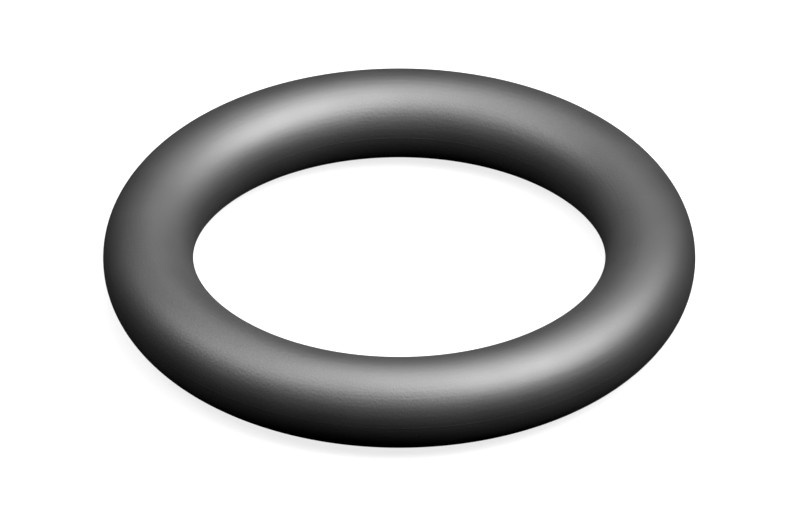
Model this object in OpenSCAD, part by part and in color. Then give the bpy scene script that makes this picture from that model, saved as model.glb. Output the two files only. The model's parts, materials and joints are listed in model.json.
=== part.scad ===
// Rubber o-ring: one endless cord of round section, moulded as a single solid piece.
//
// The ring lies flat with its axis along Z. The origin is at the centre of the ring,
// halfway up the cord. Sizes are in millimetres and are those of the relaxed ring.

/* [Ring] */
// Inside diameter, across the opening that the ring goes round
inside_d = 16; // [5:0.5:100]
// Diameter of the cord's round section
section_d = 3.5; // [1:0.1:12]

/* [Display] */
// Flat steps that stand for the round of the ring on screen
ring_steps = 240; // [48:12:480]
// Flat steps that stand for the round of the section on screen
section_steps = 72; // [24:8:144]

/* [Hidden] */

// Radius of the circle that the middle of the cord follows
cord_path_r = (inside_d + section_d) / 2;

// The cord's section, at its place beside the axis
module cord_section() {
    translate([cord_path_r, 0])
        circle(d = section_d, $fn = section_steps);
}

// The section swept once round the axis, with no seam or join
module o_ring() {
    color("#3a3a3b")
        rotate_extrude($fn = ring_steps)
            cord_section();
}

o_ring();
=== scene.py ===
# %% [markdown]
# # A rubber o-ring
#
# An o-ring is a loop of rubber cord with a round section. It is pressed into a groove, and the
# squeeze on its section makes the seal. There is nothing on it to look at but its form and its
# skin, so this lesson is about three things: a mesh that is truly round wherever it is seen, a
# rubber that has the faint marks of the mould it came from, and light that shows the form.

# %% The frame that everything is built in
import json
import math

import bpy
import numpy as np
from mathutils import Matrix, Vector


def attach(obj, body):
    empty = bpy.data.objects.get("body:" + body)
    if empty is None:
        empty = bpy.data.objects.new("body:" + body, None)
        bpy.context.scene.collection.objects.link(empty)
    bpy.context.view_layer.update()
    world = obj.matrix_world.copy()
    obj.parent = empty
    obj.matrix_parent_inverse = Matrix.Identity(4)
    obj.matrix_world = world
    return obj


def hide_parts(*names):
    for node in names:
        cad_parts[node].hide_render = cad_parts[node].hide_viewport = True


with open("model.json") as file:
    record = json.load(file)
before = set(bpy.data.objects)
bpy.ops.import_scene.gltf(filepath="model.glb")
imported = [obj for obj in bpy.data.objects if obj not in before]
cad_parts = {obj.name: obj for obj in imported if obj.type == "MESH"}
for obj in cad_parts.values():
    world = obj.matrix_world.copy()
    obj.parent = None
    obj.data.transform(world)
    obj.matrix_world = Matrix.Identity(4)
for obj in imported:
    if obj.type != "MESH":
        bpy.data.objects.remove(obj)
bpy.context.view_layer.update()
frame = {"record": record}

MM = 0.001

# %% [markdown]
# The ring's sizes aren't typed in again here. The part's record names the two circles where it
# meets other things: the inner one grips a shaft, and the outer one presses on the wall around
# it. Halfway between them runs the middle of the cord, and half their difference is the radius
# of its section. Those two numbers make the whole ring. The CAD part's own box would give nearly
# the same, but its flat faces cut the true circle short by a few thousandths of a millimetre.

# %% The ring's two sizes and its place, read from the frame
seats = {mount["name"]: mount for mount in frame["record"]["mounts"]}
inner_radius = seats["inner_seat"]["dims"]["r_mm"] * MM
outer_radius = seats["outer_seat"]["dims"]["r_mm"] * MM
path_radius = (outer_radius + inner_radius) / 2
section_radius = (outer_radius - inner_radius) / 2
ring_centre = Vector(seats["inner_seat"]["pos_m"])
floor_height = ring_centre.z - section_radius

print(f"Section radius {section_radius / MM:.3f} mm, path radius {path_radius / MM:.3f} mm")

# %% [markdown]
# The camera comes first, so that every later choice can be judged through it. The reference view
# has no perspective: the far side of the ring is as wide as the near side. An orthographic camera
# would be the plain way to that. A very long lens, far away, comes within a pixel of it, and
# it also works for views from other sides, so it is used here. The ring is seen from 35 degrees
# above, the isometric angle. The distance follows from how many pixels a millimetre takes up.

# %% The camera
FRAME_PX = (800, 516)
RING_CENTRE_PX = (399.25, 255.9)
PX_PER_MM = 25.754
VIEW_ELEVATION = math.radians(35.2)
LENS_MM = 800
SENSOR_MM = 36

frame_width = FRAME_PX[0] / PX_PER_MM * MM
camera_distance = frame_width * LENS_MM / SENSOR_MM

view_back = Vector((0, -math.cos(VIEW_ELEVATION), math.sin(VIEW_ELEVATION)))
view_right = Vector((1, 0, 0))
view_up = view_back.cross(view_right)

right_of_ring = (FRAME_PX[0] / 2 - RING_CENTRE_PX[0]) / PX_PER_MM * MM
below_ring = (FRAME_PX[1] / 2 - RING_CENTRE_PX[1]) / PX_PER_MM * MM
aim = ring_centre + view_right * right_of_ring - view_up * below_ring

camera_data = bpy.data.cameras.new("camera")
camera_data.lens = LENS_MM
camera_data.sensor_width = SENSOR_MM
camera_data.clip_start = camera_distance / 10
camera_data.clip_end = camera_distance * 10
camera = bpy.data.objects.new("camera", camera_data)
camera.location = aim + view_back * camera_distance
camera.rotation_mode = "QUATERNION"
camera.rotation_quaternion = view_back.to_track_quat("Z", "Y")
bpy.context.scene.collection.objects.link(camera)
bpy.context.scene.camera = camera

print(f"The camera stands {camera_distance / MM:.0f} mm from the ring")

# %% [markdown]
# The ring could be Blender's own torus, or a curve with a round bevel. A mesh made by formula is
# better here for one reason: while it places each point it can also write down where that point
# lies on the cord, and the rubber needs that later. The mould was turned on a lathe, so
# the marks that it leaves run along the cord, and only a pattern that knows the cord's direction
# can follow them.
#
# There are enough steps that no corner can be seen: with 480 round the ring and 96 round its
# section, the flat faces stray about a thousandth of a millimetre from the true curve.

# %% The points of the skin
STEPS_ALONG = 480
STEPS_AROUND = 96


def round_angles(steps):
    return np.arange(steps) * 2 * math.pi / steps


along, around = np.meshgrid(round_angles(STEPS_ALONG), round_angles(STEPS_AROUND), indexing="ij")
out_from_path = section_radius * np.cos(around)
up_from_path = section_radius * np.sin(around)
from_axis = path_radius + out_from_path

points = np.stack(
    [
        ring_centre.x + from_axis * np.cos(along),
        ring_centre.y + from_axis * np.sin(along),
        ring_centre.z + up_from_path,
    ],
    axis=-1,
).reshape(-1, 3)

worst_gap = (path_radius + section_radius) * (1 - math.cos(math.pi / STEPS_ALONG))
print(f"{len(points)} points, and a flat step strays {worst_gap / MM:.4f} mm at most along the ring")

# %% [markdown]
# Each face joins a point to the next one along the ring and the next one round the section. The
# last step of each joins the first again, so the skin is closed and has no seam.

# %% The faces, and the ring as an object
number = np.arange(STEPS_ALONG * STEPS_AROUND).reshape(STEPS_ALONG, STEPS_AROUND)
next_along = np.roll(number, -1, axis=0)
next_around = np.roll(number, -1, axis=1)
next_both = np.roll(next_along, -1, axis=1)
faces = np.stack([number, next_along, next_both, next_around], axis=-1).reshape(-1, 4)

ring_mesh = bpy.data.meshes.new("o_ring_skin")
ring_mesh.from_pydata(points.tolist(), [], faces.tolist())
ring_mesh.shade_smooth()
ring = bpy.data.objects.new("o_ring_skin", ring_mesh)
bpy.context.scene.collection.objects.link(ring)

print(f"The ring has {len(faces)} four-sided faces, {2 * len(faces)} triangles")

# %% [markdown]
# Each point now gets its place on the cord. `on_section` is its place on the cut face of the
# cord, in millimetres: how far outward from the middle, and how far up. It stays the same
# all the way along the cord, so a pattern made from it is drawn out into lines that never meet
# a seam.

# %% Where each point lies on the cord
on_section = np.stack([out_from_path, up_from_path, np.zeros_like(along)], axis=-1) / MM
section_attribute = ring_mesh.attributes.new("on_section", "FLOAT_VECTOR", "POINT")
section_attribute.data.foreach_set("vector", on_section.reshape(-1).astype(np.float32))

print("Across its section the cord measures", on_section[..., 0].max() - on_section[..., 0].min(), "mm")

# %% [markdown]
# The map lays the skin out flat, so that its finish can be kept as a picture when the model goes
# to other programs. The cord is far longer than it is wide round, so it is laid in two strips,
# half of the ring in each. That wastes no room in a square picture.

# %% The flat map of the skin
MAP_NAME = "OFBake"  # the name that the export looks for
MAP_STRIPS = 2
MAP_EDGE = 0.01  # the share of each strip that is left bare at its two sides

step_along, step_around = np.divmod(np.arange(STEPS_ALONG * STEPS_AROUND), STEPS_AROUND)
corner_along = step_along[:, None] + np.array([0, 1, 1, 0])
corner_around = step_around[:, None] + np.array([0, 0, 1, 1])
steps_in_strip = STEPS_ALONG // MAP_STRIPS
strip = (step_along // steps_in_strip)[:, None]
across_map = corner_along / steps_in_strip - strip
up_strip = MAP_EDGE + (1 - 2 * MAP_EDGE) * corner_around / STEPS_AROUND
up_map = (strip + up_strip) / MAP_STRIPS
skin_map = ring_mesh.uv_layers.new(name=MAP_NAME)
skin_map.uv.foreach_set("vector", np.stack([across_map, up_map], axis=-1).reshape(-1).astype(np.float32))

print("The cord's skin is mapped in", MAP_STRIPS, "strips")

# %% [markdown]
# Colours are written as they look on a screen, because that is how a colour is picked and
# compared. Light adds up on another scale, so one function turns a screen colour into the linear
# one that the renderer needs. A second small function adds a node, sets it and links it, which
# keeps each material as a short list of what it is made of.

# %% Two helpers: a colour and a node


def linear(hex_colour):
    shares = [int(hex_colour[i:i + 2], 16) / 255 for i in (1, 3, 5)]
    light = [s / 12.92 if s <= 0.04045 else ((s + 0.055) / 1.055) ** 2.4 for s in shares]
    return (*light, 1.0)


def add_node(tree, kind, settings=None, inputs=None):
    node = tree.nodes.new(kind)
    for name, value in (settings or {}).items():
        setattr(node, name, value)
    for key, value in (inputs or {}).items():
        socket = node.inputs[key]
        if isinstance(value, bpy.types.NodeSocket):
            tree.links.new(value, socket)
        else:
            socket.default_value = value
    return node


print(f"The grey #808080 looks half bright, and sends back {linear('#808080')[0]:.0%} of the light")

# %% [markdown]
# The cord is moulded nitrile rubber. Carbon black makes it almost black, so hardly any light
# comes back out of it. What the eye sees is the shine of its skin. It is a satin shine, because
# the steel mould is never quite a mirror: a wide soft highlight with no sharp edge.
#
# Four small things keep it from looking like plastic, and each one is a pattern in its
# material. They are measured in millimetres. Most are measured in space, so that they are the
# same size everywhere. Those that run along the cord are measured on its section instead.

# %% Two ways to measure a place on the rubber
rubber = bpy.data.materials.new("moulded_nitrile_rubber")
rubber.use_nodes = True
tree = rubber.node_tree
tree.nodes.clear()

place = add_node(tree, "ShaderNodeTexCoord")
in_space = add_node(
    tree,
    "ShaderNodeVectorMath",
    {"operation": "SCALE"},
    {0: place.outputs["Object"], "Scale": 1 / MM},
)
on_cord = add_node(tree, "ShaderNodeAttribute", {"attribute_name": "on_section"})

print("The rubber is measured in space and on its section, both in millimetres")

# %% [markdown]
# The first is the grain. The rubber copies every pit that blasting left in the mould, so up close
# its skin is a field of tiny bumps. It makes the highlight look dry.

# %% The grain of the moulded skin
GRAIN_MM = 0.09  # true grain is nearer 0.02 mm, and is drawn coarser so that it shows at all
GRAIN_DEPTH_MM = 0.007

grain = add_node(
    tree,
    "ShaderNodeTexNoise",
    None,
    {"Vector": in_space.outputs["Vector"], "Scale": 1 / GRAIN_MM, "Detail": 3.0, "Roughness": 0.6},
)
grain_bump = add_node(
    tree,
    "ShaderNodeBump",
    None,
    {"Height": grain.outputs["Fac"], "Strength": 1.0, "Distance": GRAIN_DEPTH_MM * MM},
)

print(f"Grain of {GRAIN_MM} mm, {GRAIN_DEPTH_MM} mm deep")

# %% [markdown]
# The second is the turning marks. The tool that cut the mould's groove left fine rings in it, and
# they show on the rubber as faint lines along the cord. Noise on the cord's section is the same
# all the way along, which draws each speck out into a line. A little of the place in space is
# added, so that the lines come and go.

# %% The marks of the lathe that cut the mould
TURNING_PITCH_MM = 0.16
TURNING_DEPTH_MM = 0.0035
LINE_STRETCH = 50

drawn_out = add_node(
    tree,
    "ShaderNodeVectorMath",
    {"operation": "MULTIPLY_ADD"},
    {
        0: in_space.outputs["Vector"],
        1: (1 / LINE_STRETCH, 1 / LINE_STRETCH, 1 / LINE_STRETCH),
        2: on_cord.outputs["Vector"],
    },
)
turning = add_node(
    tree,
    "ShaderNodeTexNoise",
    None,
    {
        "Vector": drawn_out.outputs["Vector"],
        "Scale": 1 / TURNING_PITCH_MM,
        "Detail": 2.0,
        "Roughness": 0.5,
    },
)
turning_bump = add_node(
    tree,
    "ShaderNodeBump",
    None,
    {
        "Height": turning.outputs["Fac"],
        "Strength": 1.0,
        "Distance": TURNING_DEPTH_MM * MM,
        "Normal": grain_bump.outputs["Normal"],
    },
)

print(f"Turning marks every {TURNING_PITCH_MM} mm, {LINE_STRETCH} times as long as they are wide")

# %% [markdown]
# The third is the parting line. The mould opens at half the cord's height, and a film of rubber
# is squeezed out there. It is torn off and tumbled smooth, which leaves a hair-thin ridge round
# the outside of the ring and another round the inside. Both lie where the height on the
# section is zero.

# %% Where the two halves of the mould met
PARTING_WIDTH_MM = 0.08
PARTING_HEIGHT_MM = 0.004

place_on_section = add_node(tree, "ShaderNodeSeparateXYZ", None, {"Vector": on_cord.outputs["Vector"]})
height = add_node(tree, "ShaderNodeMath", {"operation": "ABSOLUTE"}, {0: place_on_section.outputs["Y"]})
parting = add_node(
    tree,
    "ShaderNodeMapRange",
    {"interpolation_type": "SMOOTHSTEP"},
    {
        "Value": height.outputs[0],
        "From Min": 0.0,
        "From Max": PARTING_WIDTH_MM / 2,
        "To Min": 1.0,
        "To Max": 0.0,
    },
)
parting_bump = add_node(
    tree,
    "ShaderNodeBump",
    None,
    {
        "Height": parting.outputs["Result"],
        "Strength": 1.0,
        "Distance": PARTING_HEIGHT_MM * MM,
        "Normal": turning_bump.outputs["Normal"],
    },
)

print(f"Parting lines {PARTING_WIDTH_MM} mm wide and {PARTING_HEIGHT_MM} mm high")

# %% [markdown]
# The fourth is bloom. The rubber's oils and waxes come to the surface unevenly, so its shine
# and its black vary a little, in patches a few millimetres across. Where there is more wax, the
# black is a little greyer and the shine a little duller. Noise seldom leaves the middle of its
# range, so for the shine the middle alone is spread over the two roughnesses.
#
# A Mix node has a set of sockets for each kind of value, all with the same names. The ones for
# colours are therefore picked by their number.

# %% Patches of bloom, in the colour and in the shine
BLOOM_MM = 2.6
CLEAN_BLACK = "#080808"
WAXY_BLACK = "#0c0c0c"
CLEAN_ROUGHNESS = 0.53
WAXY_ROUGHNESS = 0.57
NOISE_MIDDLE = (0.3, 0.7)
MIX_FIRST_COLOUR = 6
MIX_SECOND_COLOUR = 7
MIXED_COLOUR = 2

bloom = add_node(
    tree,
    "ShaderNodeTexNoise",
    None,
    {"Vector": in_space.outputs["Vector"], "Scale": 1 / BLOOM_MM, "Detail": 4.0, "Roughness": 0.55},
)
skin_colour = add_node(
    tree,
    "ShaderNodeMix",
    {"data_type": "RGBA"},
    {
        "Factor": bloom.outputs["Fac"],
        MIX_FIRST_COLOUR: linear(CLEAN_BLACK),
        MIX_SECOND_COLOUR: linear(WAXY_BLACK),
    },
)
shine = add_node(
    tree,
    "ShaderNodeMapRange",
    None,
    {
        "Value": bloom.outputs["Fac"],
        "From Min": NOISE_MIDDLE[0],
        "From Max": NOISE_MIDDLE[1],
        "To Min": CLEAN_ROUGHNESS,
        "To Max": WAXY_ROUGHNESS,
    },
)

print(f"Bloom in patches of {BLOOM_MM} mm, roughness {CLEAN_ROUGHNESS} to {WAXY_ROUGHNESS}")
print(f"The black sends back {linear(CLEAN_BLACK)[0]:.2%} to {linear(WAXY_BLACK)[0]:.2%} of the light")

# %% [markdown]
# All four meet in one shader. Rubber isn't a metal, so its shine has no colour, and how much it
# bends light sets how strong the shine is. Nitrile alone has an index of about 1.52. Carbon black
# is a third of the weight of such a rubber, and it bends light much more, which raises that. How
# far isn't looked up here: the index and the roughness were matched to the reference view. The
# three bumps are chained: each one takes the normal that the one before it has bent.

# %% The finished rubber
FILLED_RUBBER_IOR = 1.64

skin = add_node(
    tree,
    "ShaderNodeBsdfPrincipled",
    None,
    {
        "Base Color": skin_colour.outputs[MIXED_COLOUR],
        "Roughness": shine.outputs["Result"],
        "IOR": FILLED_RUBBER_IOR,
        "Normal": parting_bump.outputs["Normal"],
    },
)
add_node(tree, "ShaderNodeOutputMaterial", None, {"Surface": skin.outputs["BSDF"]})
ring_mesh.materials.append(rubber)

print("The rubber has", len(tree.nodes), "nodes")

# %% [markdown]
# The finished skin takes the place of the plain CAD ring, and rides on the same body.

# %% Joining the ring to the frame
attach(ring, "root")
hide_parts("o_ring")

print("The skin rides on the part's only body, in place of the CAD ring")

# %% [markdown]
# The floor is a plain pale board that the ring lies on. It is lit from inside, as the opal table
# of a product studio is, so it stays pale far from the lamps. Its own colour is only a middle
# grey, so that the lamps add little to the glow, and the ring's shadow takes little away: it
# stays faint. The board sends no light up to the ring, because in the reference view the
# underside of the ring is fully dark.

# %% The floor
FLOOR_HALF_MM = 3000
FLOOR_GLOW = 0.8
BOARD_GREY = "#646464"

floor_mesh = bpy.data.meshes.new("floor")
floor_corners = [(-1, -1), (1, -1), (1, 1), (-1, 1)]
floor_mesh.from_pydata(
    [(x * FLOOR_HALF_MM * MM, y * FLOOR_HALF_MM * MM, floor_height) for x, y in floor_corners],
    [],
    [(0, 1, 2, 3)],
)
floor = bpy.data.objects.new("floor", floor_mesh)
bpy.context.scene.collection.objects.link(floor)
floor.visible_diffuse = False
floor.visible_glossy = False

board = bpy.data.materials.new("opal_board")
board.use_nodes = True
board_skin = board.node_tree.nodes["Principled BSDF"]
board_skin.inputs["Base Color"].default_value = linear(BOARD_GREY)
board_skin.inputs["Roughness"].default_value = 1.0
board_skin.inputs["Specular IOR Level"].default_value = 0.0
board_skin.inputs["Emission Color"].default_value = linear("#ffffff")
board_skin.inputs["Emission Strength"].default_value = FLOOR_GLOW
floor_mesh.materials.append(board)

print("The floor lies at", round(floor_height / MM, 3), "mm")

# %% [markdown]
# Three softboxes light the ring. The key, on the right, draws the two bright streaks: one at the
# near right, and one at the far left on the side of the hole. A weaker one on the left does the
# same at the near left and the far right. The third, a strip from front to back, hangs overhead.
#
# They stand close, as lamps do in small-product work. What is near to a lamp is then lit from
# another angle than what is far from it, and that moves the streak on the far side of the ring
# down towards the hole, to where the reference view has it.
#
# A close lamp also lights its own side of the ring more than the other. Photographers even that
# out by feathering: a grid narrows the lamp's beam, and the lamp is aimed past the ring, so that
# the far side gets the middle of the beam and the near side only its edge. Both side lamps are
# feathered here. The one overhead is about as far from every part of the ring, so it has no grid.
#
# Such lamps are hard to place by eye. Their numbers come from a search that changed them a little
# at a time and compared small test renders with the reference view. They were rounded afterwards.

# %% The softboxes


def towards(azimuth_deg, elevation_deg):
    a = math.radians(azimuth_deg)
    e = math.radians(elevation_deg)
    return Vector((math.sin(a) * math.cos(e), -math.cos(a) * math.cos(e), math.sin(e)))


def add_softbox(name, azimuth_deg, elevation_deg, distance_mm, size_mm, beam_deg, aim_mm, watts):
    data = bpy.data.lights.new(name, "AREA")
    data.shape = "ELLIPSE"
    data.size = size_mm[0] * MM
    data.size_y = size_mm[1] * MM
    data.spread = math.radians(beam_deg)
    data.energy = watts
    softbox = bpy.data.objects.new(name, data)
    softbox.location = ring_centre + towards(azimuth_deg, elevation_deg) * distance_mm * MM
    aimed_at = ring_centre + Vector((aim_mm[0], aim_mm[1], 0)) * MM
    softbox.rotation_mode = "QUATERNION"
    softbox.rotation_quaternion = (softbox.location - aimed_at).to_track_quat("Z", "Y")
    softbox.visible_camera = False
    bpy.context.scene.collection.objects.link(softbox)
    print(f"{name}: {watts} W, {size_mm[0]} by {size_mm[1]} mm, {distance_mm} mm from the ring")


add_softbox(
    "key_softbox",
    azimuth_deg=80.0,
    elevation_deg=62.3,
    distance_mm=92,
    size_mm=(110, 95),
    beam_deg=105,
    aim_mm=(-55, 21),
    watts=0.222,
)
add_softbox(
    "fill_softbox",
    azimuth_deg=-80.6,
    elevation_deg=53.5,
    distance_mm=162,
    size_mm=(156, 77),
    beam_deg=96,
    aim_mm=(26, 19),
    watts=0.107,
)
add_softbox(
    "top_softbox",
    azimuth_deg=0,
    elevation_deg=85.6,
    distance_mm=100,
    size_mm=(75, 173),
    beam_deg=180,
    aim_mm=(0, 0),
    watts=0.248,
)

# %% [markdown]
# The room beyond the board has the board's own glow, so that no edge shows between them. It
# lights nothing: only what the camera sees of it is bright. Otherwise it would fill the dark
# edges of the ring. The picture is shown by the plain sRGB curve, because the curves that imitate
# film would turn the white board grey.

# %% The room, and how light becomes a picture
world = bpy.data.worlds.new("pale_room")
world.use_nodes = True
room = world.node_tree.nodes["Background"]
room.inputs["Color"].default_value = (FLOOR_GLOW, FLOOR_GLOW, FLOOR_GLOW, 1.0)
seen_by = add_node(world.node_tree, "ShaderNodeLightPath")
world.node_tree.links.new(seen_by.outputs["Is Camera Ray"], room.inputs["Strength"])
bpy.context.scene.world = world
bpy.context.scene.view_settings.view_transform = "Standard"

print("Light is shown as it falls, with no film look:", bpy.context.scene.view_settings.view_transform)
